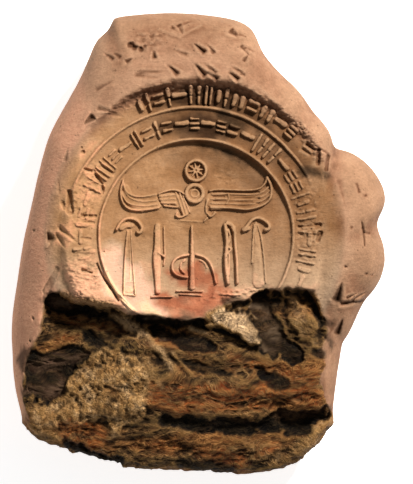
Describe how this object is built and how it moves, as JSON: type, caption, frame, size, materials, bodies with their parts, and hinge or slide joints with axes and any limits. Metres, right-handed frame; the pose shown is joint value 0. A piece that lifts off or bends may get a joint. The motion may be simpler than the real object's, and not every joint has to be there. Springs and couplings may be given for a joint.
{
  "type": "clay sealing",
  "caption": "Palm-sized lump of clay with a round seal impression of a winged disc over standing figures, its lower end broken.",
  "frame": {"origin": "middle of the underside: the object lies on its back, and the origin is on the surface it lies on", "axes": "+X to the right and +Y up as one reads the seal, +Z out of the sealed face"},
  "size_m": [0.0708, 0.0873, 0.0304],
  "materials": {
    "baked_clay": "matte"
  },
  "bodies": {
    "root": {"clay_sealing": "baked_clay"}
  },
  "joints": []
}
